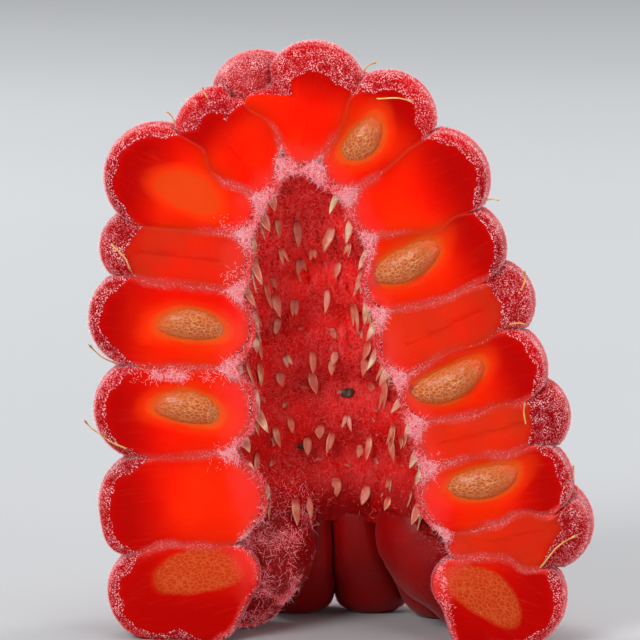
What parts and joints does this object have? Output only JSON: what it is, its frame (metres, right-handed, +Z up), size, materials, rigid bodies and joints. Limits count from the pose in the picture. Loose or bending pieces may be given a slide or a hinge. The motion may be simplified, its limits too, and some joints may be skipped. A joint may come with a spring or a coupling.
{
  "type": "half raspberry",
  "caption": "Half raspberry cut lengthwise, standing on its open end: cut drupelets with bared stones round a tapering hollow lined with small pegs.",
  "frame": {"origin": "under the middle of the half, on the surface it stands on", "axes": "+Z up towards the fruit's tip; -Y out of the cut face; +X to the right as the cut face is looked at"},
  "size_m": [0.017, 0.0085, 0.0201],
  "materials": {
    "flesh": "satin",
    "stone": "matte"
  },
  "bodies": {
    "root": {"fruit": "flesh", "stone_left_1": "stone", "stone_left_3": "stone", "stone_left_4": "stone", "stone_left_6": "stone", "stone_right_8": "stone", "stone_right_6": "stone", "stone_right_5": "stone", "stone_right_4": "stone", "stone_right_1": "stone"}
  },
  "joints": []
}
